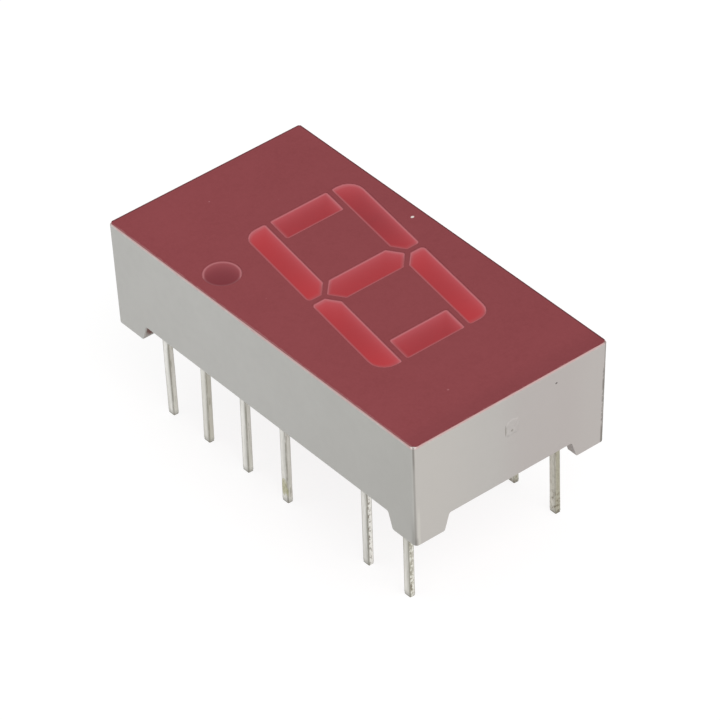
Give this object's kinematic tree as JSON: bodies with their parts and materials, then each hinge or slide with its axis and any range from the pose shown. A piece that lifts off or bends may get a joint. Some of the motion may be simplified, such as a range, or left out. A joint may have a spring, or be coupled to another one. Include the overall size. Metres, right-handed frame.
{
  "type": "seven segment display",
  "caption": "Single digit LED display: slanted segments and a decimal point in a red face, grey moulded case on corner feet, two rows of flat pins.",
  "frame": {"origin": "on the plane of the pin tips, under the middle of the case", "axes": "+Z out of the face, +Y towards the top of the digit, +X to the right of the digit as it is read"},
  "size_m": [0.01, 0.019, 0.0093],
  "materials": {
    "case_plastic": "fine moulded satin, light warm grey",
    "face_coat": "flat red coat",
    "epoxy": "diffused red epoxy, satin where it is level with the face",
    "tinned_metal": "dull solder tinning with small stains",
    "led_die": "sawn semiconductor crystal",
    "gold_wire": "bright drawn gold"
  },
  "bodies": {
    "root": {"reflector_housing": "case_plastic", "face_coat": "face_coat", "epoxy_fill": "epoxy", "anode_lead": "tinned_metal", "lead_1": "tinned_metal", "lead_2": "tinned_metal", "lead_6": "tinned_metal", "lead_7": "tinned_metal", "lead_8": "tinned_metal", "lead_9": "tinned_metal", "lead_10": "tinned_metal", "lead_11": "tinned_metal", "lead_13": "tinned_metal", "led_chip_a": "led_die", "led_chip_b": "led_die", "led_chip_c": "led_die", "led_chip_d": "led_die", "led_chip_e": "led_die", "led_chip_f": "led_die", "led_chip_g": "led_die", "led_chip_dot": "led_die", "bond_wire_a": "gold_wire", "bond_wire_b": "gold_wire", "bond_wire_c": "gold_wire", "bond_wire_d": "gold_wire", "bond_wire_e": "gold_wire", "bond_wire_f": "gold_wire", "bond_wire_g": "gold_wire", "bond_wire_dot": "gold_wire"}
  },
  "joints": []
}
